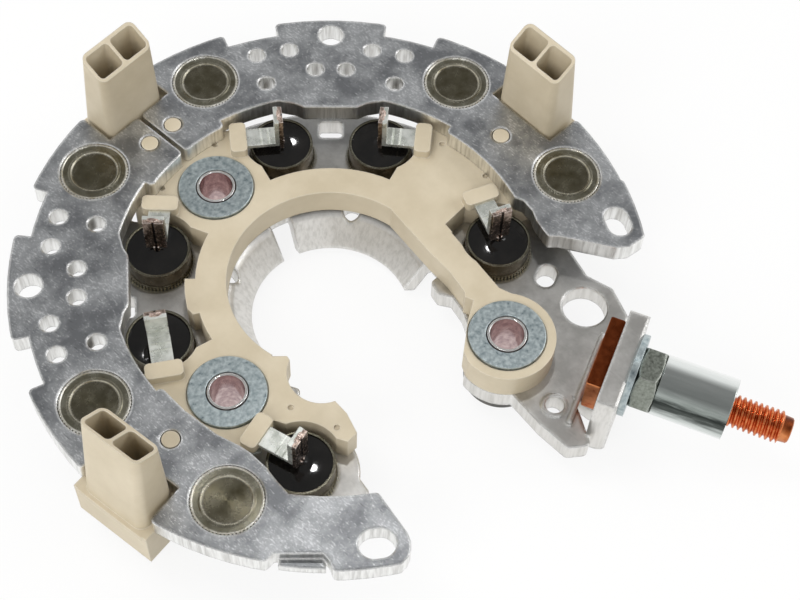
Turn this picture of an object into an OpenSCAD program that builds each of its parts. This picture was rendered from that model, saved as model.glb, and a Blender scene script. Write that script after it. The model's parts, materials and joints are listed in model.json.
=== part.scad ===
// Alternator rectifier: two negative heat sinks and one positive heat sink
// clamped round an insulating carrier, with twelve press-fit diodes.
// Z = 0 is the mounting plane, the Z axis is the alternator's shaft, and +Y
// points at the split between the negative plates. Angles are measured from
// +Y, positive to the left.

/* [Stack] */
// Height of the insulating feet under the positive plate
foot_h = 4.9; // [3.5:0.1:8]
// Thickness of the positive plate
pos_t = 4; // [3:0.1:5]
// Thickness of the carrier between the plates
carrier_t = 5.8; // [5.4:0.1:8]
// Thickness of the negative plates
neg_t = 4; // [3:0.1:5]

/* [Diodes] */
// Diameter of the knurled press-fit cup
cup_d = 12.75; // [12:0.05:13]
// Height of the cup
cup_h = 8.4; // [7.6:0.1:9]
// Thickness of the cup's base
cup_base = 3.2; // [2:0.1:4]
// Height of the knurled band that is pressed into the plate
band_h = 4.6; // [3:0.1:5]
// Step from the knurled band to the thinner cup wall
band_step = 0.3; // [0.1:0.05:0.5]
// Thickness of the cup wall above the band
cup_wall = 0.45; // [0.4:0.05:1.2]
// Diameter of the lead wire
lead_d = 1.4; // [1:0.1:2]

/* [Diode places] */
// Pitch radius of the negative diodes
neg_r = 49; // [48:0.1:50]
// Angles of the negative diodes on each plate
neg_angles = [17.3, 77.1, 112.4];
// Pitch radius of the four upper positive diodes
pos_r = 33; // [32:0.1:34]
// Angles of the upper positive diodes on each side
pos_angles = [30.2, 64];
// Radius and angle of the lower left positive diode
left_end_diode = [36.9, 124.9];
// Radius and angle of the lower right positive diode
right_end_diode = [32.8, 120.4];

/* [Negative plates] */
// Outer radius of the negative plates
neg_outer_r = 58; // [57:0.1:60]
// Radius of the shallow valleys in the outer edge
valley_r = 55; // [54:0.1:56]
// Radius of the inner edge beside the towers
neg_inner_r = 37.7; // [37:0.1:39]
// Radius of the inner edge behind the diodes
neg_relief_r = 39.3; // [38.5:0.1:40.5]
// Radius of the ridge between the upper diodes
neg_ridge_r = 36.8; // [36:0.1:38.4]
// Radius of the inner edge of the left ear
left_ear_in_r = 45.4; // [44.5:0.1:46]
// Outer radius of the left ear
left_ear_out_r = 58.8; // [58:0.1:59.5]
// Outer radius of the right ear
right_ear_out_r = 58.4; // [58:0.1:59.5]
// Gap between the two negative plates
split_gap = 0.9; // [0.5:0.1:2]
// Diameter of the cooling holes
cooling_d = 3.3; // [2.5:0.1:4]
// Diameter of the lug hole
lug_d = 4.9; // [4:0.1:5.5]
// Angle of the lug's middle
lug_angle = 47.1; // [46:0.1:48]
// Length of the slot in each ear
slot_l = 6.4; // [6:0.1:7]
// Width of the slot in the left ear
left_slot_w = 5.3; // [4.5:0.1:5.8]
// Width of the slot in the right ear
right_slot_w = 4.5; // [4:0.1:5.8]

/* [Positive plate] */
// Outer radius of the positive plate
pos_outer_r = 42.3; // [41.5:0.1:42.6]
// Radius where the flange starts to bend down
flange_r = 20.6; // [20:0.1:22]
// Inner radius at the flange's lower edge
flange_low_r = 14.8; // [13:0.1:16]
// Height of the flange's lower edge above the mounting plane
flange_low_z = 1.6; // [0.5:0.1:3]
// Thickness of the flange
flange_t = 2.8; // [2:0.1:3.5]
// Diameter of the round notches in the flange
flange_notch_d = 3.4; // [2:0.1:5]
// Diameter of the large hole in the extension
big_hole_d = 8.4; // [6:0.1:9]
// Diameter of the small hole in the extension
small_hole_d = 3.4; // [2:0.1:4]

/* [Terminal] */
// Thickness of the wall that carries the terminal
wall_t = 3.8; // [3:0.1:5]
// Height of the wall's top above the positive plate
wall_h = 9.6; // [8.5:0.1:11]
// Length of the bolt's rectangular head
head_l = 14.8; // [12:0.1:16]
// Thickness of the bolt's head
head_t = 2.8; // [2:0.1:4]
// Height of the bolt's head
head_h = 8.8; // [8:0.1:9.4]
// Height of the terminal bolt's axis above the positive plate
bolt_rise = 4; // [3.8:0.1:4.4]
// Diameter of the terminal bolt's thread
bolt_d = 6; // [5:0.5:6]
// Length of the thread that stands out of the sleeve
thread_out = 11.2; // [8:0.1:16]
// Outer diameter of the terminal washer
bolt_washer_d = 15.4; // [14:0.1:16]
// Thickness of the terminal washer
bolt_washer_t = 1.2; // [0.8:0.1:2]
// Width of the nut across its flats
nut_af = 11; // [10:0.1:11.5]
// Height of the nut
nut_h = 4.2; // [3.5:0.1:5.5]
// Outer diameter of the sleeve
sleeve_d = 11.3; // [9:0.1:12]
// Length of the sleeve
sleeve_l = 13.2; // [8:0.1:16]

/* [Carrier] */
// Inner radius of the carrier
ring_r = 19.1; // [18.5:0.1:19.5]
// Outer radius of the carrier's narrow band
band_r = 24.8; // [24:0.1:25.5]
// Outer radius of the carrier under the negative plates
seat_r = 41.5; // [40.5:0.1:42]
// Radius at the outer face of the towers
tower_outer_r = 58.8; // [58.5:0.1:60]
// Width of a tower at the negative plate
tower_base_w = 13.7; // [13:0.1:14]
// Depth of a tower at the negative plate
tower_base_d = 8.5; // [8.2:0.1:8.6]
// Width of a tower at its top
tower_top_w = 12.6; // [12:0.1:13.2]
// Depth of a tower at its top
tower_top_d = 5.6; // [5:0.1:6.2]
// Inward lean of a tower's outer face from the negative plate to the top
tower_lean = 2.4; // [2:0.1:2.8]
// Height of a tower's outer face above the negative plates
tower_h = 17.7; // [12:0.1:20]
// Fall of a tower's sloping top from its outer to its inner face
tower_drop = 3.1; // [0:0.1:4]
// Thickness of a tower's walls at the top
tower_wall = 0.6; // [0.5:0.05:1]
// Depth of the carrier's legs below its plate
leg_h = 3.4; // [2:0.1:3.8]

/* [Phase terminals] */
// Width of a phase terminal's strip
strip_w = 4; // [3:0.1:4.2]
// Thickness of the strip
strip_t = 0.8; // [0.5:0.05:1]
// Height of the upright tab that is welded to a lead
tab_h = 6.3; // [4:0.1:8]
// Height of the blocks that hold the strips
block_h = 2; // [1.6:0.1:3]

/* [Mounting points] */
// Outer diameter of the mounting washers
washer_d = 14.15; // [13:0.05:15]
// Thickness of the mounting washers
washer_t = 1; // [0.8:0.1:1.5]
// Bore of the mounting eyelets
eyelet_bore = 6.3; // [5.5:0.1:7]
// Wall of the mounting eyelets
eyelet_wall = 0.45; // [0.4:0.05:1.1]
// Radius of an insulating foot
foot_r = 7; // [6.5:0.1:8]

/* [Hidden] */
$fn = 96;
eps = 0.01;
// Clearance left round a part that is bonded, moulded in or pressed in
bond = 0.03;
// Clearance round a part that is dropped into its hole or recess
slip = 0.2;
// Depth by which a washer lies in the carrier
washer_sink = 0.4;
// Radial gap round a diode in the carrier
pocket_gap = 0.9;
// Gap between a tower and its notch in the plates
notch_gap = 0.75;
// Thickness of the sheet left in the notch of the left ear
notch_lip_t = 1.8;

pos_z = foot_h;
carrier_z = pos_z + pos_t;
neg_z = carrier_z + carrier_t;
top_z = neg_z + neg_t;
washer_z = neg_z - washer_sink;

tower_angles = [0, 94.2, -94.2];
tower_in_r = tower_outer_r - tower_base_d;
notch_r = tower_in_r - 0.35;
pin_r = 44;
pin_angles = [3.92, 94.8];
pin_d = 3.2;

// Mounting points of the carrier
points = [[0, 29.6], [-29.6, -2.8], [12.7, -31.6]];

// A point at radius r and angle a, counted from +Y to the left
function at(r, a) = [-r * sin(a), r * cos(a)];

// Point p turned about the origin by an angle
function turned(p, a) = [p[0] * cos(a) - p[1] * sin(a), p[0] * sin(a) + p[1] * cos(a)];

// Places of the positive diodes, of their strips' blocks and of the negative diodes
pos_places = [
    at(pos_r, pos_angles[0]), at(pos_r, -pos_angles[0]),
    at(pos_r, pos_angles[1]), at(pos_r, -pos_angles[1]),
    at(left_end_diode[0], left_end_diode[1]),
    at(right_end_diode[0], -right_end_diode[1])
];
block_places = [
    at(35.4, 17), at(35.4, -17), at(35.4, 77.2), at(35.4, -77.2),
    at(34.4, 111.1), at(33.2, -105.5)
];
neg_places = [
    at(neg_r, neg_angles[0]), at(neg_r, -neg_angles[0]),
    at(neg_r, neg_angles[1]), at(neg_r, -neg_angles[1]),
    at(neg_r, neg_angles[2]), at(neg_r, -neg_angles[2])
];
// Tower and side of each phase: side 1 is the chamber towards larger angles
phase_tower = [0, 0, 94.2, -94.2, 94.2, -94.2];
phase_side = [1, -1, -1, 1, 1, -1];

// The terminal's axis runs out from this point on the wall's inner side
head_centre = [20.8, -47.6];
terminal_angle = -70;
bolt_z = carrier_z + bolt_rise;

// Flat sector of a ring between two radii and two angles
module sector(r1, r2, a1, a2) {
    steps = ceil((a2 - a1) / 30);
    intersection() {
        difference() {
            circle(r2);
            circle(r1);
        }
        polygon(concat([[0, 0]], [for (i = [0 : steps]) at(1.3 * r2, a1 + (a2 - a1) * i / steps)]));
    }
}

// Flat shape with its outer and inner corners rounded
module rounded(r) {
    offset(r = r) offset(delta = -2 * r) offset(r = r) children();
}

// Flat oblong of a length and width, its length along X
module oblong(length, width) {
    half = (length - width) / 2;
    square([2 * half, width], center = true);
    for (side = [-1, 1]) translate([side * half, 0]) circle(d = width);
}

// Children moved to each point of a list
module each_at(places) {
    for (p = places) translate(p) children();
}

// Children turned so that +X runs from p to q, with the origin at p
module along(p, q) {
    translate(p) rotate(atan2(q[1] - p[1], q[0] - p[0])) children();
}

// Cooling, lug and pin holes of one negative plate
module negative_holes() {
    for (side = [-1, 1]) {
        translate(at(51.1, lug_angle + side * 16.5)) circle(d = cooling_d);
        translate(at(43.9, lug_angle + side * 16.5)) circle(d = cooling_d);
        translate(at(51, lug_angle + side * 9.2)) circle(d = cooling_d);
        translate(at(45.7, lug_angle + side * 3.8)) circle(d = cooling_d);
    }
    translate(at(54.15, lug_angle)) circle(d = lug_d);
    for (a = neg_angles) translate(at(neg_r, a)) circle(d = cup_d + 2 * bond);
    for (a = pin_angles) translate(at(pin_r, a)) circle(d = pin_d + 2 * slip);
}

// Outline that both negative plates share, up to the angle of the ear's end
module negative_outline(end_angle) {
    difference() {
        sector(neg_inner_r, neg_outer_r, 0, end_angle);
        translate([-split_gap / 2, 0]) square([split_gap, neg_outer_r + 1]);
        // relief of the inner edge behind the diodes
        sector(neg_inner_r - 1, neg_relief_r, 14.5, 83);
        // valleys of the outer edge on both sides of the lug
        for (side = [-1, 1]) {
            mid = lug_angle + side * 16.3;
            sector(valley_r, neg_outer_r + 1, mid - 5.2, mid + 5.2);
        }
        // notches round the towers
        for (a = [0, tower_angles[1]]) rotate(a) translate([0, notch_r + 5])
            square([tower_base_w + 2 * notch_gap, 10], center = true);
    }
    // ridge between the upper diodes, with gentle flanks
    polygon([at(neg_relief_r + 0.2, lug_angle - 15.5), at(neg_ridge_r + 1.1, lug_angle - 10.4),
        at(neg_ridge_r, lug_angle - 8.2), at(neg_ridge_r, lug_angle + 8.2),
        at(neg_ridge_r + 1.1, lug_angle + 10.4), at(neg_relief_r + 0.2, lug_angle + 15.5),
        at(neg_relief_r + 4, lug_angle)]);
}

// Negative plate on the left, whose ear reaches further down
module negative_plate_left() {
    color("silver") translate([0, 0, neg_z]) {
        linear_extrude(neg_t) difference() {
            rounded(0.9) difference() {
                union() {
                    negative_outline(133);
                    sector(left_ear_in_r, left_ear_out_r, 132, 148);
                }
                // inner edge that draws back beside the lower diode to the ear
                polygon([at(30, 83), at(neg_inner_r + 0.5, 84.5), at(neg_inner_r + 0.7, 92),
                    at(neg_inner_r + 1.2, 103), at(neg_inner_r + 1.4, 110), at(neg_inner_r + 1.9, 112.8),
                    at(neg_inner_r + 3.8, 118), at(neg_inner_r + 5.3, 120.3), at(left_ear_in_r, 124),
                    at(30, 130)]);
                sector(25, left_ear_in_r, 123.9, 150);
                // sloping end of the ear
                polygon([[-27.2, -36], [-29.4, -44.8], [-30.2, -46.3], [-31.3, -47.3], [-32.6, -47.8],
                    [-40, -47.8], [-40, -60], [-10, -60], [-10, -36]]);
                // notch in the outer edge
                polygon([[-49.3, -31], [-47, -31], [-41.5, -37], [-41.7, -38.6], [-42.6, -40.4], [-52, -42]]);
            }
            negative_holes();
            translate([-34.2, -42.4]) rotate(140) oblong(slot_l, left_slot_w);
        }
        // lower part of the sheet that is left in the notch
        linear_extrude(notch_lip_t) sector(neg_outer_r - 3.5, neg_outer_r - 0.5, 124.3, 132.2);
    }
}

// Negative plate on the right, with the shorter ear
module negative_plate_right() {
    color("silver") translate([0, 0, neg_z]) linear_extrude(neg_t) difference() {
        rounded(0.9) difference() {
            mirror([1, 0]) {
                negative_outline(136);
                sector(neg_relief_r, right_ear_out_r, 118, 136);
            }
            // edge beside the lower diode, and the sloping end of the ear
            polygon([[34.7, -14.8], [35.2, -16.5], [34.6, -19.1], [33.4, -21], [32.8, -22.8], [32.2, -24.9],
                [33.6, -26.4], [38.7, -35.7], [40.6, -37.4], [44.6, -38.2], [50, -38.2], [50, -50],
                [10, -50], [10, -14.8]]);
        }
        mirror([1, 0]) negative_holes();
        translate([43.5, -32.3]) rotate(59) oblong(slot_l, right_slot_w);
    }
}

// Children in the terminal's frame: +X out along the bolt, Z = 0 at its axis
module at_terminal() {
    translate([head_centre[0], head_centre[1], bolt_z]) rotate(terminal_angle) children();
}

// Where things lie along the terminal's axis, from the head's middle
wall_x = head_t / 2 + bond;
washer_x = wall_x + wall_t;
nut_x = washer_x + bolt_washer_t;
sleeve_x = nut_x + nut_h;
thread_x = sleeve_x + sleeve_l;
// Stem of the bolt under the nut and the sleeve, thinner than its rolled thread, and the plain tip
shank_d = bolt_d - 0.7;
bolt_tip = 1.6;

// Profile of the flange in the plane of the shaft
module flange_profile() {
    top_r = flange_r - 2.4;
    top_z = carrier_z - 1.2;
    slope = atan2(top_z - flange_low_z, top_r - flange_low_r);
    under = flange_t * [sin(slope), -cos(slope)];
    foot_r2 = flange_low_r + under[0];
    foot_z = flange_low_z + under[1];
    offset(r = 0.6) offset(delta = -0.6) polygon([
        [flange_r + 2, carrier_z], [flange_r - 0.4, carrier_z], [top_r + 0.7, top_z + 0.7], [top_r, top_z],
        [flange_low_r, flange_low_z], [foot_r2, foot_z],
        [foot_r2 + (pos_z - foot_z) / tan(slope), pos_z], [flange_r + 2, pos_z]
    ]);
}

module flange(a1, a2) {
    rotate(90 + a1) rotate_extrude(angle = a2 - a1) flange_profile();
}

// Wall bent up from the positive plate, its left upper corner cut off
module terminal_wall() {
    low = pos_z - bolt_z;
    high = carrier_z + wall_h - bolt_z;
    at_terminal() difference() {
        intersection() {
            rotate([90, 0, 0]) linear_extrude(60, center = true) difference() {
                translate([wall_x, low]) square([wall_t, high - low]);
                translate([wall_x + wall_t - 2.2, low]) difference() {
                    square(3);
                    translate([0, 2.2]) circle(2.2);
                    translate([-1, 2.2]) square(6);
                }
            }
            rotate([90, 0, 90]) linear_extrude(60, center = true)
                polygon([[-12.6, low], [9.8, low], [9.8, high - 0.8], [9, high], [-10.6, high], [-12.6, high - 3.5]]);
        }
        rotate([0, 90, 0]) cylinder(d = bolt_d + 2 * slip, h = 40, center = true);
    }
}

// Plan of the positive plate without its holes
module positive_outline() {
    rounded(1) {
        difference() {
            union() {
                sector(flange_r, pos_outer_r, -150, 118);
                translate(pos_places[4]) circle(cup_d / 2 + 4);
                polygon([[-21, 0], [-19.8, -23.7], [-23.4, -26.6], [-25, -33], [-30, -31], [-38, -19], [-40, 0]]);
                translate(points[2]) circle(9);
                polygon([[17, -20], [7.2, -36], [5.5, -46], [5.2, -52.6], [8.4, -55.4], [12, -50], [20, -36]]);
                polygon([[14, -24], [39.5, -16], [38.2, -26.5], [35.9, -32.6], [36.9, -38], [34, -44], [14, -52]]);
            }
            // what lies beyond the wall's outer face, and beside the right arm
            at_terminal() translate([wall_x + wall_t, -40]) square([40, 80]);
            polygon([[0, -10], [18.6, -8], [16.4, -20], [11, -24.5], [3, -30], [0, -45], [-20, -45], [-19.6, -23]]);
        }
        // flat stub beyond the flange's end, and the arm's inner edge
        polygon([[21, -12.4], [14.6, -11.9], [13.7, -14.7], [15, -17], [13.9, -20.6], [12.4, -23], [14, -26],
            [22, -20]]);
    }
}

// Lower heat sink with the flange, the extension and the terminal's wall
module positive_plate() {
    color("gainsboro") {
        difference() {
            union() {
                translate([0, 0, pos_z]) linear_extrude(pos_t) positive_outline();
                flange(-10, 96);
                flange(-116, -23);
            }
            for (a = [-59, 29.5]) rotate(a) translate([0, flange_r - 0.9, -1])
                cylinder(d = flange_notch_d, h = top_z);
            translate([0, 0, -1]) linear_extrude(top_z) {
                each_at(pos_places) circle(d = cup_d + 2 * bond);
                each_at(points) circle(foot_spigot_r + slip);
                for (side = [-1, 1]) {
                    rotate(side * 47) translate([0, 38.3]) rounded(0.8) square([4.6, 4], center = true);
                    rotate(side * 17) translate([0, 41.2]) circle(d = flange_notch_d);
                }
                translate([30.6, -27]) rotate(20) oblong(5, 3.6);
                translate([30.2, -36.6]) circle(d = big_hole_d);
                translate([10.2, -45.5]) circle(d = small_hole_d);
            }
        }
        terminal_wall();
        // low rib that keeps the bolt's head from turning
        at_terminal() translate([-head_t / 2 - slip - 1, -12, carrier_z - bolt_z - eps]) cube([1, 20, 1.2]);
        // raised rim of the small hole
        translate([10.2, -45.5, carrier_z - eps]) difference() {
            cylinder(d = small_hole_d + 1.4, h = 0.5);
            translate([0, 0, -1]) cylinder(d = small_hole_d, h = 3);
        }
    }
}

// Inner plan of the carrier: band, seats, lobe, arm and eye
module carrier_plan() {
    difference() {
        union() {
            sector(ring_r, band_r, -96, 100);
            sector(ring_r, band_r + 1.9, 43, 60);
            for (range = [[-19.5, 19.5], [74, 111], [-113, -74]])
                sector(ring_r + 2, seat_r, range[0], range[1]);
            sector(ring_r, seat_r - 6, -16, 16);
            each_at([points[0], points[1]]) circle(washer_d / 2 + 2);
            translate(points[2]) circle(9);
            polygon([[-19, -3.5], [-17.2, -5.4], [-17.6, -6.8], [-18, -17.8], [-18.4, -21], [-20, -24.9],
                [-22.3, -24.9], [-28, -12.6], [-38, -12], [-38, 0], [-25, 2]]);
            polygon([[18.9, 2], [16.6, -10], [16, -15], [14.5, -20], [9, -25], [12.7, -31], [21, -30],
                [19.5, -24], [23.2, -7.6], [30, -7.6], [26, 4]]);
        }
        // inner side of the eye, cut straight
        polygon([[2, -33], [5, -27.9], [10.4, -24.3], [14.3, -22.3], [13, -18], [0, -20]]);
        // scallop in the lobe's inner edge
        translate([-15.4, -12.2]) circle(6.2);
        each_at([for (i = [0 : 3]) pos_places[i]]) circle(cup_d / 2 + pocket_gap);
        // pockets of the two lower diodes
        translate(pos_places[4]) circle(cup_d / 2 + pocket_gap);
        polygon([[-35.4, -12.6], [-28.3, -12.6], [-24, -25.5], [-37, -25.5]]);
        translate(pos_places[5]) circle(cup_d / 2 + pocket_gap);
        polygon([[23.4, -7.6], [29.2, -7.6], [33, -13], [33, -24], [19.8, -24]]);
        for (side = [-1, 1]) rotate(side * 17) translate([0, 41.2]) circle(d = flange_notch_d + 0.8);
    }
}

// Plan of one arm that carries a tower, between the negative diodes
module arm_plan(from_r) {
    intersection() {
        translate([-8.2, from_r]) square([16.4, tower_outer_r + 0.6 - from_r]);
        circle(tower_outer_r + 1.6);
    }
}

chamber_w = (tower_top_w - 3 * tower_wall) / 2;
chamber_d = tower_top_d - 2 * tower_wall;
chamber_x = (chamber_w + tower_wall) / 2;
tower_mid_r = tower_outer_r - tower_base_d / 2;
tower_top_r = tower_outer_r - tower_lean - tower_top_d / 2;

// Outer form of a tower on its arm, at +Y
module tower_body() {
    slope = atan2(tower_drop, tower_top_d);
    hull() {
        translate([0, tower_mid_r, neg_z - eps]) linear_extrude(eps)
            rounded(2, $fn = 32) square([tower_base_w, tower_base_d], center = true);
        translate([0, tower_top_r, top_z + tower_h - tower_drop / 2]) rotate([slope, 0, 0])
            translate([0, 0, -eps]) linear_extrude(eps)
                rounded(1.5, $fn = 32) square([tower_top_w, tower_top_d / cos(slope)], center = true);
    }
    translate([0, tower_mid_r, neg_z - 1.6])
        linear_extrude(1.6) rounded(0.5) square([tower_base_w + 1.2, tower_base_d + 1.6], center = true);
    // two small legs under the base's outer edge
    for (side = [-1, 1]) translate([side * 5.2 - 1.5, tower_outer_r - 3, carrier_z - leg_h - 2])
        cube([3, 3, 2 + eps]);
}

module tower_chambers() {
    for (side = [-1, 1]) translate([side * chamber_x, tower_top_r, neg_z - 0.6])
        linear_extrude(neg_t + tower_h + 2)
            rounded(0.8, $fn = 32) square([chamber_w, chamber_d], center = true);
}

// Raised block that a strip comes out of, turned towards its diode
module strip_block(i) {
    along(block_places[i], pos_places[i]) translate([0, 0, neg_z - eps]) linear_extrude(block_h + eps)
        rounded(0.9) square([3.2, strip_w + 2.8], center = true);
}

module terminal_carrier() {
    color("tan") difference() {
        union() {
            translate([0, 0, carrier_z]) linear_extrude(carrier_t) {
                carrier_plan();
                difference() {
                    for (a = tower_angles) rotate(a) arm_plan(seat_r - 2);
                    each_at(neg_places) circle(cup_d / 2 + pocket_gap);
                    for (side = [-1, 1]) rotate(side * 17) translate([0, 41.2]) circle(d = flange_notch_d + 0.8);
                }
            }
            translate([0, 0, carrier_z - leg_h]) linear_extrude(leg_h + eps) difference() {
                for (a = tower_angles) rotate(a) arm_plan(pos_outer_r + 0.6);
                each_at(neg_places) circle(cup_d / 2 + pocket_gap);
            }
            for (a = tower_angles) rotate(a) tower_body();
            for (i = [0 : 5]) strip_block(i);
            for (side = [-1, 1], a = pin_angles) rotate(side * a) translate([0, pin_r, neg_z - eps])
                cylinder(d = pin_d, h = neg_t + eps);
        }
        for (a = tower_angles) rotate(a) tower_chambers();
        for (i = [0 : 5]) phase_strip(i);
        each_at(points) {
            translate([0, 0, carrier_z - 1]) cylinder(r = eyelet_r + slip, h = carrier_t + 2);
            translate([0, 0, washer_z]) cylinder(d = washer_d + 2 * slip, h = 2);
        }
        // dimples left by the mould's ejector pins
        for (p = [[7, 37], [-7, 37], [37, 5], [37, -6], [-24.2, -13], [-21.6, -21.6]])
            translate([p[0], p[1], neg_z - 0.5]) cylinder(d = 1.1, h = 2);
    }
}

cup_r = cup_d / 2;
fill_r = cup_r - band_step - cup_wall - bond;
fill_h = cup_h - 0.25;

// Turned cup of a diode, its base at Z = 0 and its mouth up
module cup() {
    wall_r = cup_r - band_step;
    rotate_extrude() polygon([
        [0, 0.25], [4.15, 0.25], [4.4, 0], [4.7, 0], [4.9, 0.12], [5.85, 0.12], [6, 0],
        [cup_r - 0.2, 0], [cup_r, 0.2], [cup_r, band_h], [wall_r, band_h + 0.3], [wall_r, cup_h],
        [wall_r - cup_wall, cup_h], [wall_r - cup_wall, cup_base], [0, cup_base]
    ]);
}

// Potting in the cup, drawn up to a small cone round the lead
module fill() {
    bore = lead_d / 2 + bond;
    head = lead_head_d / 2 + bond;
    rotate_extrude() polygon([
        [head, cup_base], [fill_r, cup_base], [fill_r, fill_h], [fill_r - 0.5, fill_h - 0.15],
        [2.2, fill_h - 0.1], [bore + 0.25, fill_h + 0.5], [bore, fill_h + 0.5],
        [bore, cup_base + 0.6 + bond], [head, cup_base + 0.6 + bond]
    ]);
}

// Lead with its flat head on the chip and a straight stem
module lead(length) {
    translate([0, 0, cup_base]) {
        cylinder(d = lead_head_d, h = 0.6);
        cylinder(d = lead_d, h = length - cup_base);
    }
}

lead_head_d = 3.6;
// Flattened end of a positive lead
flat_t = 0.8;
flat_w = 3.8;

// Children turned base up and hung from the negative plates' top face
module hung(p) {
    translate([p[0], p[1], top_z]) mirror([0, 0, 1]) children();
}

module negative_cup(i) { color("dimgray") hung(neg_places[i]) cup(); }
module negative_fill(i) { color("black") hung(neg_places[i]) fill(); }
module negative_lead(i) { color("darkgoldenrod") hung(neg_places[i]) lead(top_z - low_run_z + 1); }

module positive_cup(i) { color("dimgray") translate([pos_places[i][0], pos_places[i][1], pos_z]) cup(); }
module positive_fill(i) { color("black") translate([pos_places[i][0], pos_places[i][1], pos_z]) fill(); }

module positive_lead(i) {
    stem = tab_z - 0.6 - pos_z;
    color("peru") {
        translate([pos_places[i][0], pos_places[i][1], pos_z]) lead(stem);
        along(pos_places[i], block_places[i])
            translate([-flat_t / 2, -flat_w / 2, pos_z + stem - 0.4])
                cube([flat_t, flat_w, tab_z + tab_h + strip_t - pos_z - stem + 0.4]);
    }
}

// Heights of a phase terminal: tab over the diode, run in the carrier, low branch
tab_z = neg_z + block_h - strip_t - 0.5;
run_z = carrier_z + 2.2;
low_run_z = carrier_z - 1.9;
// Width and height of the blade that stands in a tower's chamber
blade_w = 3.4;
blade_h = 12;

// Flat strip from p to q at a height, that starts some way behind p
module run(p, q, z, back = strip_w / 2) {
    along(p, q) translate([-back, -strip_w / 2, z]) cube([norm(q - p) + back + strip_w / 2, strip_w, strip_t]);
}

// Stamped strip of one phase: tab, riser, run to its chamber, blade and branch
module phase_strip(i) {
    b = block_places[i];
    c = pos_places[i];
    reach = norm(c - b) - flat_t / 2 - bond;
    along(b, c) {
        translate([-strip_t / 2, -strip_w / 2, run_z]) cube([strip_t, strip_w, tab_z + strip_t - run_z]);
        translate([-strip_t / 2, -strip_w / 2, tab_z]) cube([reach + strip_t / 2, strip_w, strip_t]);
        translate([reach - strip_t, -strip_w / 2, tab_z]) cube([strip_t, strip_w, tab_h + strip_t]);
    }
    t = phase_tower[i];
    side = phase_side[i];
    // the rest lies in the tower's own frame
    x = -side * chamber_x;
    drop_x = -side * 6.2;
    lead = turned(neg_places[i], -t);
    rotate(t) {
        run(turned(b, -t), [x, seat_r], run_z, strip_t / 2);
        run([x, seat_r], [x, tower_top_r - 1], run_z);
        run([x, lead[1]], [drop_x + side * strip_w / 2, lead[1]], run_z);
        translate([x - blade_w / 2, tower_top_r - strip_t / 2, run_z]) cube([blade_w, strip_t, blade_h]);
        translate([drop_x - strip_t / 2, lead[1] - strip_w / 2, low_run_z])
            cube([strip_t, strip_w, run_z - low_run_z + strip_t]);
        difference() {
            run([drop_x, lead[1]], lead, low_run_z, 0);
            translate([lead[0], lead[1], low_run_z - 1]) cylinder(d = lead_d + 2 * slip, h = 4);
        }
    }
}

module phase_terminal(i) { color("lightgray") phase_strip(i); }

eyelet_r = eyelet_bore / 2 + eyelet_wall;
foot_spigot_r = eyelet_r + 1.5;
// Height at which an eyelet starts inside its foot
eyelet_recess = 0.3;

module mount_washer(i) {
    color("lightsteelblue") translate([points[i][0], points[i][1], washer_z]) rotate_extrude()
        translate([eyelet_r + slip, 0]) rounded(0.2) square([washer_d / 2 - eyelet_r - slip, washer_t]);
}

// Tube that holds the stack together, its end flush with the washer
module mount_eyelet(i) {
    color("silver") translate([points[i][0], points[i][1], 0]) rotate_extrude()
        translate([eyelet_bore / 2, eyelet_recess]) square([eyelet_wall, washer_z + washer_t - eyelet_recess]);
}

// Insulating foot with a spigot that keeps the eyelet off the positive plate
module mount_foot(i) {
    color("dimgray") translate([points[i][0], points[i][1], 0]) difference() {
        union() {
            cylinder(r = foot_r, h = foot_h);
            cylinder(r = foot_spigot_r, h = carrier_z - bond);
        }
        translate([0, 0, -1]) cylinder(r = eyelet_r + slip, h = carrier_z + 2);
    }
}

module terminal_bolt() {
    color("chocolate") at_terminal() {
        translate([-head_t / 2, -head_l / 2, bond - bolt_rise]) cube([head_t, head_l, head_h]);
        rotate([0, 90, 0]) {
            cylinder(d = shank_d, h = thread_x + eps);
            translate([0, 0, thread_x]) cylinder(d = bolt_d, h = thread_out - bolt_tip);
            cylinder(d = bolt_d - 1.4, h = thread_x + thread_out);
        }
    }
}

module terminal_washer() {
    color("lightsteelblue") at_terminal() rotate([0, 90, 0]) translate([0, 0, washer_x]) difference() {
        cylinder(d = bolt_washer_d, h = bolt_washer_t);
        translate([0, 0, -1]) cylinder(d = bolt_d + 2 * slip, h = bolt_washer_t + 2);
    }
}

module terminal_nut() {
    color("gray") at_terminal() rotate([0, 90, 0]) translate([0, 0, nut_x]) difference() {
        intersection() {
            rotate(30) cylinder(d = nut_af / cos(30), h = nut_h, $fn = 6);
            rotate_extrude() polygon([[0, 0], [nut_af / 2 - 0.2, 0], [nut_af / 2 + 1, 0.7],
                [nut_af / 2 + 1, nut_h - 0.7], [nut_af / 2 - 0.2, nut_h], [0, nut_h]]);
        }
        translate([0, 0, -1]) cylinder(d = shank_d + 2 * bond, h = nut_h + 2);
    }
}

module terminal_sleeve() {
    color("silver") at_terminal() rotate([0, 90, 0]) translate([0, 0, sleeve_x]) difference() {
        cylinder(d = sleeve_d, h = sleeve_l);
        translate([0, 0, -1]) cylinder(d = bolt_d + 2 * slip, h = sleeve_l + 2);
    }
}

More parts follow.
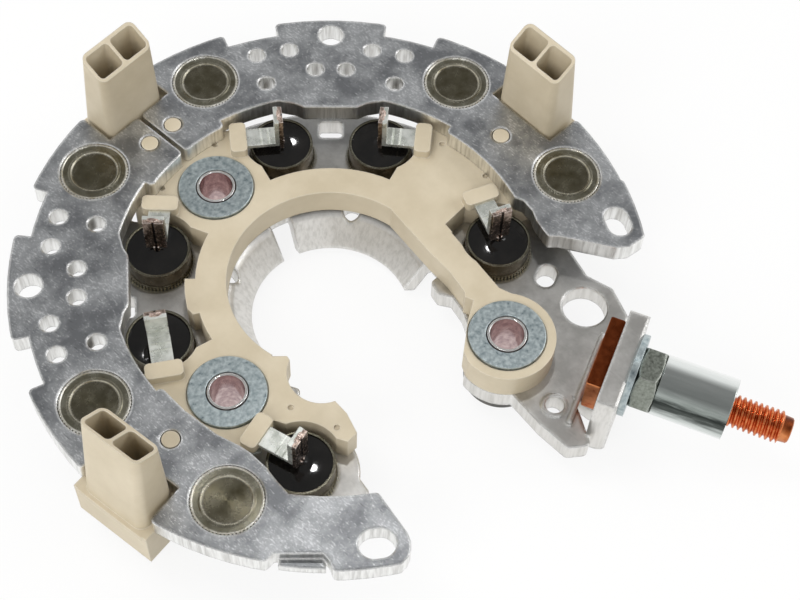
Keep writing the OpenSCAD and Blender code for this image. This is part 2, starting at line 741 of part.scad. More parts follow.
negative_plate_left();
negative_plate_right();
positive_plate();
terminal_carrier();
negative_cup(0);  // negative_cup_1
negative_cup(1);  // negative_cup_2
negative_cup(2);  // negative_cup_3
negative_cup(3);  // negative_cup_4
negative_cup(4);  // negative_cup_5
negative_cup(5);  // negative_cup_6
negative_fill(0);  // negative_fill_1
negative_fill(1);  // negative_fill_2
negative_fill(2);  // negative_fill_3
negative_fill(3);  // negative_fill_4
negative_fill(4);  // negative_fill_5
negative_fill(5);  // negative_fill_6
negative_lead(0);  // negative_lead_1
negative_lead(1);  // negative_lead_2
negative_lead(2);  // negative_lead_3
negative_lead(3);  // negative_lead_4
negative_lead(4);  // negative_lead_5
negative_lead(5);  // negative_lead_6
positive_cup(0);  // positive_cup_1
positive_cup(1);  // positive_cup_2
positive_cup(2);  // positive_cup_3
positive_cup(3);  // positive_cup_4
positive_cup(4);  // positive_cup_5
positive_cup(5);  // positive_cup_6
positive_fill(0);  // positive_fill_1
positive_fill(1);  // positive_fill_2
positive_fill(2);  // positive_fill_3
positive_fill(3);  // positive_fill_4
positive_fill(4);  // positive_fill_5
positive_fill(5);  // positive_fill_6
positive_lead(0);  // positive_lead_1
positive_lead(1);  // positive_lead_2
positive_lead(2);  // positive_lead_3
positive_lead(3);  // positive_lead_4
positive_lead(4);  // positive_lead_5
positive_lead(5);  // positive_lead_6
phase_terminal(0);  // phase_terminal_1
phase_terminal(1);  // phase_terminal_2
phase_terminal(2);  // phase_terminal_3
phase_terminal(3);  // phase_terminal_4
phase_terminal(4);  // phase_terminal_5
phase_terminal(5);  // phase_terminal_6
mount_washer(0);  // mount_washer_1
mount_washer(1);  // mount_washer_2
mount_washer(2);  // mount_washer_3
mount_eyelet(0);  // mount_eyelet_1
mount_eyelet(1);  // mount_eyelet_2
mount_eyelet(2);  // mount_eyelet_3
mount_foot(0);  // mount_foot_1
mount_foot(1);  // mount_foot_2
mount_foot(2);  // mount_foot_3
terminal_bolt();
terminal_washer();
terminal_nut();
terminal_sleeve();
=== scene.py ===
# %% [markdown]
# # An alternator rectifier, dressed for its picture
#
# A rectifier turns an alternator's three phases into direct current. Two
# stamped plates carry six negative diodes, a lower plate carries six positive
# ones, and a moulded carrier keeps them apart and holds the phase terminals.
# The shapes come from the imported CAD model, which is loaded as a fixed frame.
# We could model everything again here, but then nothing would be sure to fit,
# so this script only gives each piece its finish and adds what is too fine
# for the CAD model: the thread of the stud and the weld beads.

import json
import math

import bmesh
import bpy
import numpy as np
from mathutils import Matrix, Vector, noise


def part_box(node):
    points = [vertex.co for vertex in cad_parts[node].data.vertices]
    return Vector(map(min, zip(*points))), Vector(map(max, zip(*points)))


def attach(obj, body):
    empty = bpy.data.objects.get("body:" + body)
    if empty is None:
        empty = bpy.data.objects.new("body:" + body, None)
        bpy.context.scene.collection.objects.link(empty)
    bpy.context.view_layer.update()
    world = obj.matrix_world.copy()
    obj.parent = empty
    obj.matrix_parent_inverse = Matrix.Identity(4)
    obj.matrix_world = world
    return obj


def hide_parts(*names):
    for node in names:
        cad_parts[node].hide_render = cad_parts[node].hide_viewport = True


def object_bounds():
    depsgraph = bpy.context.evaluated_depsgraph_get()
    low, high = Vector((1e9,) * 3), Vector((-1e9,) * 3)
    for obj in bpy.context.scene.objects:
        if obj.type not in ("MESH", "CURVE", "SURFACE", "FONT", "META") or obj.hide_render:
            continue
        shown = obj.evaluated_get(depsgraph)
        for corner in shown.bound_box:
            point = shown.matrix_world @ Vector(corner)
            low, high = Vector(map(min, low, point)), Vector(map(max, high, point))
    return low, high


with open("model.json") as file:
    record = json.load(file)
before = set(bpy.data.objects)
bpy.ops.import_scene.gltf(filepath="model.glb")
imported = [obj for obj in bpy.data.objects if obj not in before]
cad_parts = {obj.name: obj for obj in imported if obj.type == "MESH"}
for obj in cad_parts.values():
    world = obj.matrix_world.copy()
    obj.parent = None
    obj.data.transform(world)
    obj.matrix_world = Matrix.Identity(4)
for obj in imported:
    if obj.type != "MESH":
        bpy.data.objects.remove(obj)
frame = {"nodes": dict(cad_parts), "record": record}
cad_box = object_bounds()
nodes = frame["nodes"]
scene = bpy.context.scene
MM = 0.001
UP = Vector((0, 0, 1))
print("nodes:", len(nodes), "size in mm:", [round(v / MM, 1) for v in cad_box[1] - cad_box[0]])

# %% [markdown]
# ## Small tools
#
# Colours are written as sRGB hex values, as on a paint chart, but the
# renderer works with linear light, so one function turns them round. A second
# one adds a shader node with its settings and its links. With these and three
# smaller ones a material stays short enough to read.

# %% Colour and node helpers
def linear(hex_code):
    """The linear colour of an sRGB hex value such as "C8CACC"."""
    parts = [int(hex_code[i:i + 2], 16) / 255 for i in (0, 2, 4)]
    return tuple(c / 12.92 if c <= 0.04045 else ((c + 0.055) / 1.055) ** 2.4 for c in parts) + (1.0,)


def add(tree, kind, inputs=None, **settings):
    """Adds a node: settings are its own, inputs maps a socket to a value or to another node's socket."""
    made = tree.nodes.new(kind)
    for name, value in settings.items():
        setattr(made, name, value)
    for socket, value in (inputs or {}).items():
        if isinstance(value, bpy.types.NodeSocket):
            tree.links.new(value, made.inputs[socket])
        else:
            made.inputs[socket].default_value = value
    return made


def start_material(name, **sockets):
    """A material with its shader's sockets set; returns the material, its tree and its shader."""
    material = bpy.data.materials.new(name)
    material.use_nodes = True
    shader = material.node_tree.nodes["Principled BSDF"]
    for socket, value in sockets.items():
        shader.inputs[socket].default_value = value
    return material, material.node_tree, shader


def connect(tree, shader, colour=None, roughness=None, normal=None):
    """Links what a material has worked out to its shader."""
    for socket, source in (("Base Color", colour), ("Roughness", roughness), ("Normal", normal)):
        if source:
            tree.links.new(source, shader.inputs[socket])


def lay_tones(color_ramp, stops):
    """Gives a colour ramp its stops, each a place from 0 to 1 and an sRGB hex value."""
    for _ in stops[2:]:
        color_ramp.elements.new(0.5)
    for element, (place, _) in zip(color_ramp.elements, stops):
        element.position = place
    for element, (_, tone) in zip(color_ramp.elements, stops):
        element.color = linear(tone)


print("linear mid grey:", [round(c, 3) for c in linear("808080")])

# %% [markdown]
# ## Patterns that the finishes share
#
# Nearly every surface here is a metal or plastic whose tone drifts between
# two close colours, so one function lays soft noise between them. Another
# finds the edges. The CAD meshes are sharp, while real edges are rounded and
# worn. A bevel modifier would have to cut thousands of triangles, so we let
# the shader round the normal instead, and we read the edge from the angle
# between the rounded normal and the true one. The finishes paint that edge
# lighter, partly as worn metal and partly as a painted highlight. A third
# tells upright sides from flat faces by the height of the normal.

# %% Mottled colour, worn edges and upright sides
BEVEL_SAMPLES = 5
SAME_FACE = 0.993         # where the two normals agree better than this cosine, there is no edge


def mottled(tree, where, size, dark, light, low=0.35, high=0.65):
    """Noise of a size in metres between two colours; returns the colour and the noise."""
    drift = add(tree, "ShaderNodeTexNoise", {"Vector": where, "Scale": 1 / size, "Detail": 5.0,
                                             "Roughness": 0.62}).outputs["Fac"]
    share = add(tree, "ShaderNodeMapRange", {"Value": drift, "From Min": low, "From Max": high})
    colour = add(tree, "ShaderNodeMix", {"Factor": share.outputs["Result"], "A": linear(dark),
                                         "B": linear(light)}, data_type="RGBA")
    return colour.outputs["Result"], drift


def rounded_edge(tree, radius, drop=0.18):
    """The normal of an edge rounded to a radius, and a mask that is 1 where the normals' cosine lost drop."""
    rounded = add(tree, "ShaderNodeBevel", {"Radius": radius}, samples=BEVEL_SAMPLES).outputs["Normal"]
    true = add(tree, "ShaderNodeNewGeometry").outputs["Normal"]
    cosine = add(tree, "ShaderNodeVectorMath", {0: rounded, 1: true}, operation="DOT_PRODUCT")
    mask = add(tree, "ShaderNodeMapRange", {"Value": cosine.outputs["Value"], "From Min": SAME_FACE,
                                            "From Max": 1 - drop})
    return rounded, mask.outputs["Result"]


def steepness(tree, normal, flat, upright):
    """0 where the height of the normal is above flat, 1 where it is below upright."""
    height = add(tree, "ShaderNodeSeparateXYZ", {"Vector": normal}).outputs["Z"]
    height = add(tree, "ShaderNodeMath", {0: height}, operation="ABSOLUTE").outputs[0]
    return add(tree, "ShaderNodeMapRange", {"Value": height, "From Min": flat,
                                            "From Max": upright}).outputs["Result"]


print("edges are read with", BEVEL_SAMPLES, "samples")

# %% [markdown]
# ## Points that a piece carries
#
# Turned rings, a dome and a crease need a middle, but all the pieces share one
# origin. We could make a material for each piece, but it is easier to change
# one that reads the point which each piece carries as a custom property.

# %% Measuring from a piece's own point
def own_place(tree, name="centre"):
    """Where the shaded point is, and the way to it from the piece's marked point, whole and flattened."""
    where = add(tree, "ShaderNodeTexCoord").outputs["Object"]
    point = add(tree, "ShaderNodeAttribute", attribute_type="OBJECT", attribute_name=name).outputs["Vector"]
    offset = add(tree, "ShaderNodeVectorMath", {0: where, 1: point}, operation="SUBTRACT").outputs["Vector"]
    flat = add(tree, "ShaderNodeVectorMath", {0: offset, 1: (1, 1, 0)}, operation="MULTIPLY")
    return where, offset, flat.outputs["Vector"]


def distance_along(tree, point, direction):
    """How far the shaded point lies from the marked point, along the marked direction."""
    offset = own_place(tree, point)[1]
    way = add(tree, "ShaderNodeAttribute", attribute_type="OBJECT", attribute_name=direction)
    return add(tree, "ShaderNodeVectorMath", {0: offset, 1: way.outputs["Vector"]},
               operation="DOT_PRODUCT").outputs["Value"]


print("marked points: centre, dome, bend and blade")

# %% [markdown]
# ## Stamped aluminium
#
# The three plates are stamped from thick sheet and then tumbled with stones,
# which leaves a grey, finely scratched and pecked face. The punch draws the
# upper edge over into a roll, which is worn and also painted bright as a
# highlight, and the sheared side has upright streaks, in light tones that are
# a painted reflection of a bright table. A painted texture could show all
# that, but a procedural one has no seams: the surface's own direction tells
# faces from sheared sides.

# %% Marks on the sheet
PECK = 0.45 * MM              # a stone's mark is a few tenths of a millimetre
NICK_ANGLES = (-52, 24)       # degrees; the stones also leave short straight nicks
NICK_SHAPE = (2.5, 0.6, 1.0)  # a nick is narrower than a peck and longer
SCRATCH = 0.22 * MM           # spacing of the fine scratches, coarse enough to show
SCRATCH_ANGLE = 38            # degrees
SCRATCH_DRAWN = 0.08          # scratches are twelve times as long as they are apart
SHEAR = 0.7 * MM              # spacing of the shear's streaks
SHEAR_DRAWN = 0.07            # and they run over most of the sheet's thickness


def stone_marks(tree, where):
    """Heights of the stones' pecks alone, and of pecks and nicks together."""
    pecks = add(tree, "ShaderNodeTexNoise", {"Vector": where, "Scale": 1 / PECK, "Detail": 3.0,
                                             "Roughness": 0.7}).outputs["Fac"]
    marks = pecks
    for angle in NICK_ANGLES:
        laid = add(tree, "ShaderNodeMapping", {"Vector": where, "Rotation": (0, 0, math.radians(angle)),
                                               "Scale": [share / PECK for share in NICK_SHAPE]})
        nicks = add(tree, "ShaderNodeTexNoise", {"Vector": laid.outputs["Vector"], "Scale": 1.0, "Detail": 2.0})
        marks = add(tree, "ShaderNodeMath", {0: marks, 1: nicks.outputs["Fac"]}, operation="MAXIMUM").outputs[0]
    return pecks, marks


def fine_scratches(tree, where):
    """Heights of long scratches that all lie the same way."""
    laid = add(tree, "ShaderNodeMapping", {"Vector": where, "Rotation": (0, 0, math.radians(SCRATCH_ANGLE)),
                                           "Scale": (1 / SCRATCH, SCRATCH_DRAWN / SCRATCH, 1 / SCRATCH)})
    return add(tree, "ShaderNodeTexNoise", {"Vector": laid.outputs["Vector"], "Scale": 1.0,
                                            "Detail": 2.0}).outputs["Fac"]


def sheared_side(tree, where, tones):
    """Colour and height of the upright streaks on a sheared side."""
    drawn = add(tree, "ShaderNodeMapping", {"Vector": where,
                                            "Scale": (1 / SHEAR, 1 / SHEAR, SHEAR_DRAWN / SHEAR)})
    return mottled(tree, drawn.outputs["Vector"], 1.0, *tones, 0.34, 0.58)


print("a nick is", round(PECK / NICK_SHAPE[1] / MM, 2), "mm long")

# %% Aluminium
CLOUD = 7.0 * MM              # the tumbled grey changes over some millimetres
# the roll's tone is partly worn metal and partly a painted highlight
NICK_TONE, PIT_TONE, ROLL_HIGHLIGHT = "F4F5F6", "5C5D5F", "F6F6F4"


def aluminium(name, dark, light, pecked, roll, lit_side_tones):
    """Grey sheet, pecked by stones from 0 to 1, with an edge of radius roll and sheared sides."""
    material, tree, shader = start_material(name, Metallic=1.0)
    where = add(tree, "ShaderNodeTexCoord").outputs["Object"]
    rounded, edge = rounded_edge(tree, roll)
    pecks, marks = stone_marks(tree, where)
    scratches = fine_scratches(tree, where)

    # the face is cloudy grey, with bright nicks in light clouds and dark pits in deep scratches
    grey, cloud = mottled(tree, where, CLOUD, dark, light, 0.38, 0.62)
    worn = add(tree, "ShaderNodeMath", {0: cloud, 1: 0.35, 2: marks}, operation="MULTIPLY_ADD").outputs[0]
    bright = add(tree, "ShaderNodeMapRange", {"Value": worn, "From Min": 0.80, "From Max": 0.90,
                                              "To Max": pecked}).outputs["Result"]
    face = add(tree, "ShaderNodeMix", {"Factor": bright, "A": grey, "B": linear(NICK_TONE)}, data_type="RGBA")
    pits = add(tree, "ShaderNodeMapRange", {"Value": scratches, "From Min": 0.34, "From Max": 0.27,
                                            "To Max": pecked}).outputs["Result"]
    face = add(tree, "ShaderNodeMix", {"Factor": pits, "A": face.outputs["Result"], "B": linear(PIT_TONE)},
               data_type="RGBA")

    # the sides are streaked, and their light tones are a painted reflection of a bright table
    side = steepness(tree, rounded, 0.85, 0.5)
    sheared, streaks = sheared_side(tree, where, lit_side_tones)
    body = add(tree, "ShaderNodeMix", {"Factor": side, "A": face.outputs["Result"], "B": sheared},
               data_type="RGBA").outputs["Result"]

    # the rolled edge is polished smooth and painted bright, partly worn and partly a painted highlight, but the
    # pecks break it up
    broken = add(tree, "ShaderNodeMapRange", {"Value": pecks, "From Min": 0.36, "From Max": 0.56,
                                              "To Min": 0.45, "To Max": 1.0}).outputs["Result"]
    worn_lit_edge = add(tree, "ShaderNodeMath", {0: edge, 1: broken}, operation="MULTIPLY").outputs[0]
    colour = add(tree, "ShaderNodeMix", {"Factor": worn_lit_edge, "A": body, "B": linear(ROLL_HIGHLIGHT)}, data_type="RGBA")
    dull = add(tree, "ShaderNodeMapRange", {"Value": pecks, "To Min": 0.28, "To Max": 0.46}).outputs["Result"]
    rough = add(tree, "ShaderNodeMix", {"Factor": worn_lit_edge, "A": dull, "B": 0.14})

    # pecks, scratches and streaks are pressed in one after the other
    normal = rounded
    for height, strength, depth in ((pecks, 0.2 + 0.5 * pecked, 0.05), (scratches, 0.1 + 0.3 * pecked, 0.04),
                                    (streaks, side, 0.05)):
        normal = add(tree, "ShaderNodeBump", {"Height": height, "Strength": strength, "Distance": depth * MM,
                                              "Normal": normal}).outputs["Normal"]
    connect(tree, shader, colour.outputs["Result"], rough.outputs["Result"], normal)
    return material


# tumbled: cloudy mid grey that glitters with white nicks, under a bright broken edge that is partly a painted
# highlight
# the last two tones are the sheared sides, painted light as a reflection of a bright table
tumbled = aluminium("tumbled_aluminium", "86888B", "BCBEC0", 0.75, 0.8 * MM, ("D2D1CE", "FAFAF8"))
# satin: the lower plate was hardly tumbled, so it is lighter, even and softly shiny
satin = aluminium("satin_aluminium", "B2B0AC", "D0CECA", 0.15, 1.0 * MM, ("CFCDC8", "E3E1DD"))
print("made", tumbled.name, "and", satin.name, "with", len(tumbled.node_tree.nodes), "nodes each")

# %% [markdown]
# ## Moulded carrier
#
# The carrier is injection moulded from glass-filled plastic the colour of
# bone. The fibres give it a slightly cloudy, satin skin, and its edges are
# painted a little lighter as a highlight. Such plastic lets some light in,
# but at this size a plain diffuse colour with soft clouds looks the same and
# bakes well.

# %% Glass-filled plastic
FIBRE_CLOUD = 9 * MM      # the fibres gather in clouds this large
SKIN = 0.4 * MM           # the skin's unevenness, drawn as coarse as it needs to show


def moulded_plastic():
    """Matt, bone-coloured plastic with faint clouds and edges painted slightly lighter as a highlight."""
    material, tree, shader = start_material("glass_filled_nylon", IOR=1.53)
    where = add(tree, "ShaderNodeTexCoord").outputs["Object"]
    rounded, edge = rounded_edge(tree, 0.35 * MM)
    cloudy, clouds = mottled(tree, where, FIBRE_CLOUD, "BFB298", "CCC0A8", 0.32, 0.66)
    # the lighter edge is a painted highlight
    worn_lit_edge = add(tree, "ShaderNodeMath", {0: edge, 1: 0.8}, operation="MULTIPLY").outputs[0]
    colour = add(tree, "ShaderNodeMix", {"Factor": worn_lit_edge, "A": cloudy, "B": linear("E4DCCB")}, data_type="RGBA")
    rough = add(tree, "ShaderNodeMapRange", {"Value": clouds, "To Min": 0.38, "To Max": 0.54})
    skin = add(tree, "ShaderNodeTexNoise", {"Vector": where, "Scale": 1 / SKIN, "Detail": 3.0})
    bump = add(tree, "ShaderNodeBump", {"Height": skin.outputs["Fac"], "Strength": 0.2, "Distance": 0.03 * MM,
                                        "Normal": rounded})
    connect(tree, shader, colour.outputs["Result"], rough.outputs["Result"], bump.outputs["Normal"])
    return material


plastic = moulded_plastic()
print("made", plastic.name)

# %% [markdown]
# ## Diode cups
#
# Each diode sits in a copper cup that was nickel plated and then dulled brown
# by the soldering oven. Turning leaves fine rings round its centre, and the
# band that is pressed into the plate is knurled. Both could be cut into the
# meshes, but they are only hundredths of a millimetre deep, so the material
# draws them from the radius and the angle round the cup's own centre.

# %% Rings and knurls
TURNING = 0.18 * MM       # spacing of the turned rings, drawn as coarse as it needs to show
KNURLS = 60
BAND_RADIUS = 6.2 * MM    # the knurled band is the widest part of the cup


def turned_and_knurled(tree, flat):
    """The radius, a mask of the knurled band, the height of rings and knurls, and the knurls' valleys, which get
    painted shade.
    """
    radius = add(tree, "ShaderNodeVectorMath", {0: flat}, operation="LENGTH").outputs["Value"]
    rings = add(tree, "ShaderNodeMath", {0: radius, 1: 2 * math.pi / TURNING}, operation="MULTIPLY").outputs[0]
    groove = add(tree, "ShaderNodeMath", {0: rings}, operation="SINE").outputs[0]
    sides = add(tree, "ShaderNodeSeparateXYZ", {"Vector": flat}).outputs
    angle = add(tree, "ShaderNodeMath", {0: sides["Y"], 1: sides["X"]}, operation="ARCTAN2").outputs[0]
    turns = add(tree, "ShaderNodeMath", {0: angle, 1: KNURLS}, operation="MULTIPLY").outputs[0]
    knurl = add(tree, "ShaderNodeMath", {0: turns}, operation="SINE").outputs[0]
    on_band = add(tree, "ShaderNodeMath", {0: radius, 1: BAND_RADIUS}, operation="GREATER_THAN").outputs[0]
    height = add(tree, "ShaderNodeMix", {"Factor": on_band, "A": groove, "B": knurl}).outputs["Result"]
    low = add(tree, "ShaderNodeMapRange", {"Value": knurl, "From Min": 0.2, "From Max": -0.6}).outputs["Result"]
    valley_shade = add(tree, "ShaderNodeMath", {0: low, 1: on_band}, operation="MULTIPLY").outputs[0]
    return radius, on_band, height, valley_shade


print("knurls are", round(2 * math.pi * BAND_RADIUS / KNURLS / MM, 2), "mm apart")

# %% Oven-dulled nickel
TONE_REACH = 8 * MM       # the places of the tones below are shares of this radius
# the pale ring from 0.54 to 0.562 and the outer ring are painted highlights
DISC_TONES = [(0.0, "6C6858"), (0.52, "747062"), (0.54, "CFCBBD"), (0.562, "B9B5A6"), (0.58, "848173"),
              (0.725, "929083")]
RIM_HIGHLIGHT_PLACES = (0.745, 0.79)
STAIN = 2.0 * MM


def dulled_nickel(name, rim_highlight, worn_edge_highlight):
    """Brownish nickel in rings; the first tone is the painted highlight of its outer ring, and the second that of
    its edges, which are partly worn and partly a painted highlight.
    """
    material, tree, shader = start_material(name, Metallic=1.0)
    where, _, flat = own_place(tree)
    rounded, edge = rounded_edge(tree, 0.18 * MM, 0.4)
    radius, on_band, height, valley_shade = turned_and_knurled(tree, flat)

    # the disc has a tone for each distance from the centre, with a pale ring and an outer ring that are painted
    # highlights; the wall has one above the band and one on it
    share = add(tree, "ShaderNodeMath", {0: radius, 1: TONE_REACH}, operation="DIVIDE").outputs[0]
    disc = add(tree, "ShaderNodeValToRGB", {"Fac": share})
    lay_tones(disc.color_ramp, DISC_TONES + [(place, rim_highlight) for place in RIM_HIGHLIGHT_PLACES])
    wall = add(tree, "ShaderNodeMix", {"Factor": on_band, "A": linear("8B8170"), "B": linear("CBC3A9")},
               data_type="RGBA").outputs["Result"]
    body = add(tree, "ShaderNodeMix", {"Factor": steepness(tree, rounded, 0.7, 0.4), "A": disc.outputs["Color"],
                                       "B": wall}, data_type="RGBA").outputs["Result"]

    # the knurls' valleys get painted shade, the oven leaves stains, and the edges are painted lighter, partly worn
    # and partly a painted highlight
    body = add(tree, "ShaderNodeMix", {"Factor": valley_shade, "A": body, "B": linear("3C382E")}, data_type="RGBA")
    stains, stain = mottled(tree, where, STAIN, "C4BFAE", "FFFFFF", 0.3, 0.7)
    body = add(tree, "ShaderNodeMix", {"Factor": 1.0, "A": body.outputs["Result"], "B": stains},
               data_type="RGBA", blend_type="MULTIPLY")
    worn_lit_edge = add(tree, "ShaderNodeMath", {0: edge, 1: 0.8}, operation="MULTIPLY").outputs[0]
    colour = add(tree, "ShaderNodeMix", {"Factor": worn_lit_edge, "A": body.outputs["Result"], "B": linear(worn_edge_highlight)},
                 data_type="RGBA")

    # rings are shallow and knurls deep
    rough = add(tree, "ShaderNodeMapRange", {"Value": stain, "To Min": 0.16, "To Max": 0.36})
    strength = add(tree, "ShaderNodeMapRange", {"Value": on_band, "To Min": 0.1, "To Max": 0.9})
    bump = add(tree, "ShaderNodeBump", {"Height": height, "Strength": strength.outputs["Result"],
                                        "Distance": 0.05 * MM, "Normal": rounded})
    connect(tree, shader, colour.outputs["Result"], rough.outputs["Result"], bump.outputs["Normal"])
    return material


# the negative cups show their bottoms: olive-brown discs with a pale ring and a bright outer ring, both painted
# highlights
disc_nickel = dulled_nickel("oven_dulled_nickel", "F2F0EA", "FAF9F5")
# the positive cups show their walls: dark and brown, with a knurled band and a dull lip round the potting, a dim
# painted highlight
cup_nickel = dulled_nickel("oven_dark_nickel", "6E6A5E", "A09B8C")
print("made", disc_nickel.name, "and", cup_nickel.name)

# %% [markdown]
# ## Potting
#
# The potting is poured epoxy, jet black and glossy. Shrinkage leaves each
# pool slightly domed, and never twice the same, which is why every pool in
# the photograph mirrors the lamp in another place. We could dome the meshes,
# but a normal that leans away from a point mirrors just the same, so each
# piece carries the top of its own dome. Close to the lead the normal leans
# more, because the epoxy has crept up there.

# %% Poured epoxy
DOME = 0.02 / MM                                # lean of the normal per metre from the top of the dome
CREEP_FROM, CREEP_TO = 0.9 * MM, 2.3 * MM       # distance from the lead over which the creep fades
CREEP = 0.35                                    # lean of the normal at the lead


def poured_epoxy():
    """Black and very smooth, so that the eye sees the lamp and the leads in it and little else."""
    material, tree, shader = start_material("poured_black_epoxy", IOR=1.5)
    where, _, from_top = own_place(tree, "dome")
    from_lead = own_place(tree)[2]
    face = add(tree, "ShaderNodeSeparateXYZ", {"Vector": add(tree, "ShaderNodeNewGeometry").outputs["Normal"]})
    way_up = add(tree, "ShaderNodeMath", {0: face.outputs["Z"]}, operation="SIGN").outputs[0]
    normal = add(tree, "ShaderNodeCombineXYZ", {"Z": way_up}).outputs["Vector"]

    lean = add(tree, "ShaderNodeVectorMath", {0: from_top, "Scale": DOME}, operation="SCALE").outputs["Vector"]
    far = add(tree, "ShaderNodeVectorMath", {0: from_lead}, operation="LENGTH").outputs["Value"]
    climb = add(tree, "ShaderNodeMapRange", {"Value": far, "From Min": CREEP_FROM, "From Max": CREEP_TO,
                                             "To Min": CREEP, "To Max": 0.0}, interpolation_type="SMOOTHSTEP")
    outwards = add(tree, "ShaderNodeVectorMath", {0: from_lead}, operation="NORMALIZE").outputs["Vector"]
    creep = add(tree, "ShaderNodeVectorMath", {0: outwards, "Scale": climb.outputs["Result"]},
                operation="SCALE").outputs["Vector"]
    for part in (lean, creep):
        normal = add(tree, "ShaderNodeVectorMath", {0: normal, 1: part}, operation="ADD").outputs["Vector"]
    normal = add(tree, "ShaderNodeVectorMath", {0: normal}, operation="NORMALIZE").outputs["Vector"]

    black, wave = mottled(tree, where, 3 * MM, "0C0B0A", "171513")
    rough = add(tree, "ShaderNodeMapRange", {"Value": wave, "To Min": 0.03, "To Max": 0.07})
    bump = add(tree, "ShaderNodeBump", {"Height": wave, "Strength": 0.02, "Distance": 0.1 * MM, "Normal": normal})
    connect(tree, shader, black, rough.outputs["Result"], bump.outputs["Normal"])
    return material


epoxy = poured_epoxy()
print("made", epoxy.name)

# %% [markdown]
# ## Plain metals and the feet
#
# The leads are copper, the washers zinc-plated steel, the nut phosphated steel
# and the feet a phenolic moulding. Each could have its own tree of nodes, but
# their tone drifts in the same way and their edges are worn and painted
# lighter as a highlight in the same way, so they share one recipe with other
# sizes and tones.

# %% A recipe for plain metals
def plain_metal(name, size, dark, light, rough, edge_worn_and_lit, metallic=1.0, radius=0.2, dent=0.03):
    """A mottled metal with rounded edges painted lighter, partly worn and partly a painted highlight; size, radius
    and dent are in millimetres.
    """
    material, tree, shader = start_material(name, Metallic=metallic)
    where = add(tree, "ShaderNodeTexCoord").outputs["Object"]
    rounded, edge = rounded_edge(tree, radius * MM, 0.3)
    body, drift = mottled(tree, where, size * MM, dark, light, 0.36, 0.62)
    # the edge tone is partly worn metal and partly a painted highlight
    colour = add(tree, "ShaderNodeMix", {"Factor": edge, "A": body, "B": linear(edge_worn_and_lit)}, data_type="RGBA")
    gloss = add(tree, "ShaderNodeMapRange", {"Value": drift, "From Min": 0.3, "From Max": 0.7,
                                             "To Min": rough[0], "To Max": rough[1]})
    bump = add(tree, "ShaderNodeBump", {"Height": drift, "Strength": 0.3, "Distance": dent * MM, "Normal": rounded})
    connect(tree, shader, colour.outputs["Result"], gloss.outputs["Result"], bump.outputs["Normal"])
    return material


# browned wire: dull grey-brown, pinkish where it is bare
lead_copper = plain_metal("oven_dark_copper_wire", 0.8, "8A776B", "D2BBAE", (0.16, 0.34), "F4EAE2", dent=0.05)
# a weld melts the copper clean: pale pink and shiny, with sparkling lumps; the pale tone and the near-white edges
# are partly a painted highlight
weld_copper = plain_metal("welded_copper_bead", 0.6, "A5877A", "E6D2C6", (0.12, 0.3), "FFF8F2", dent=0.05)
# zinc plate: bluish grey with fine spangle and little gloss
zinc = plain_metal("zinc_plated_steel", 0.9, "94A2A6", "C6D0D1", (0.26, 0.42), "D5DCDC", metallic=0.9, dent=0.05)
# phosphate: dark greenish grey, finely grained, painted bright at the corners, partly worn and partly a painted
# highlight
phosphate = plain_metal("phosphated_steel", 0.5, "777B73", "989D94", (0.26, 0.42), "E4E6E0", radius=0.45)
# rolling leaves the thread's copper clean: warm orange, with light crests that are a painted highlight
stud_copper = plain_metal("bare_copper_stud", 0.9, "B85A2C", "E38C5C", (0.2, 0.34), "FFC09A", radius=0.08)
# phenolic isn't a metal: dark brown and dull, with a slightly lighter edge
phenolic = plain_metal("phenolic_moulding", 1.5, "34322E", "5A5751", (0.36, 0.5), "74716B", metallic=0.0)
print("made", ", ".join(made.name for made in (lead_copper, weld_copper, zinc, phosphate, stud_copper, phenolic)))

# %% [markdown]
# ## Pieces with two tones
#
# The eyelets are bright tube, and their bores are painted pink as a reflection
# of copper. The stud's head is painted dark brown where it faces up, as
# shade. We could cut both meshes in two, but the direction of a face already
# tells the parts from each other.

# %% Steel tube and copper, with painted reflection and painted shade
def opened(material):
    """A material's tree and shader, and the colour and the normal that it has so far."""
    shader = material.node_tree.nodes["Principled BSDF"]
    colour, normal = (shader.inputs[socket].links[0].from_socket for socket in ("Base Color", "Normal"))
    return material.node_tree, shader, colour, normal


def two_toned(material, dark, light, on_top):
    """Gives a metal other tones on its upward faces (on_top) or on all the others."""
    tree, shader, first, _ = opened(material)
    where = add(tree, "ShaderNodeTexCoord").outputs["Object"]
    other = mottled(tree, where, 1.2 * MM, dark, light)[0]
    facing = add(tree, "ShaderNodeSeparateXYZ", {"Vector": add(tree, "ShaderNodeNewGeometry").outputs["Normal"]})
    share = add(tree, "ShaderNodeMapRange", {"Value": facing.outputs["Z"], "From Min": 0.45, "From Max": 0.8,
                                             "To Min": 0.0 if on_top else 1.0, "To Max": 1.0 if on_top else 0.0})
    both = add(tree, "ShaderNodeMix", {"Factor": share.outputs["Result"], "A": first, "B": other}, data_type="RGBA")
    connect(tree, shader, both.outputs["Result"])
    return material


# bright tube: a nearly white, mirror-like end and a bore painted pinkish as a reflection of copper
steel = plain_metal("bright_steel_tube", 1.4, "E9E8E5", "FAFAF8", (0.1, 0.2), "FFFFFF", radius=0.3)
eyelet_steel = two_toned(steel, "A48C8D", "CDB8B5", False)
# head: dark chocolate brown on top as painted shade, orange copper on its sides and edges
copper = plain_metal("copper_head_shaded_top", 2.5, "B5602F", "E0905C", (0.24, 0.4), "F0AE84", radius=0.3)
head_copper = two_toned(copper, "5C2912", "753A1E", True)
print("made", eyelet_steel.name, "and", head_copper.name)

# %% [markdown]
# ## Creased tin and split copper
#
# The phase terminals are copper strip under bright tin, creased where a tool
# stepped them down to the lead. The end of each positive lead is split in two
# prongs that grip the strip. Creases and slit could be grooves in the meshes,
# but those stay as the CAD made them, so a bump draws both at a distance from
# the piece's own point, and the slit is also painted nearly black as the shade
# in the gap between the prongs.

